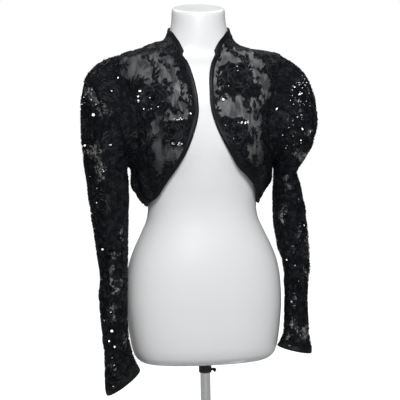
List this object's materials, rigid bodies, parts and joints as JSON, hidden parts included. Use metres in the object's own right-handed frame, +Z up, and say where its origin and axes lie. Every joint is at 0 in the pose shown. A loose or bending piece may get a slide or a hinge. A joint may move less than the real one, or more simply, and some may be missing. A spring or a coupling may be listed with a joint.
{
  "type": "bolero jacket on a dress form",
  "caption": "Sheer embroidered net bolero jacket with long gathered sleeves and satin binding, worn by a white limbless dress form on a round table stand.",
  "frame": {"origin": "centre of the stand base's underside, on the floor", "axes": "+Z up along the stand's pole, the form faces -Y, the wearer's left is +X"},
  "size_m": [0.5187, 0.28, 0.9397],
  "materials": {
    "form_white": "glossy white",
    "lace": "sheer black net with black floral embroidery and sequins",
    "satin": "black satin binding",
    "pad_cloth": "matt black covered padding",
    "steel": "polished",
    "black_metal": "black, semi-matt"
  },
  "bodies": {
    "root": {"dress_form": "form_white", "stand_base": "steel", "stand_pole": "steel", "stand_socket": "black_metal", "stand_thumbscrew": "black_metal", "front_right": "lace", "front_left": "lace", "back": "lace", "collar": "lace", "binding_right": "satin", "binding_left": "satin", "binding_hem": "satin", "sleeve_right": "lace", "cuff_binding_right": "satin", "shoulder_pad_right": "pad_cloth", "sleeve_left": "lace", "cuff_binding_left": "satin", "shoulder_pad_left": "pad_cloth"}
  },
  "joints": []
}
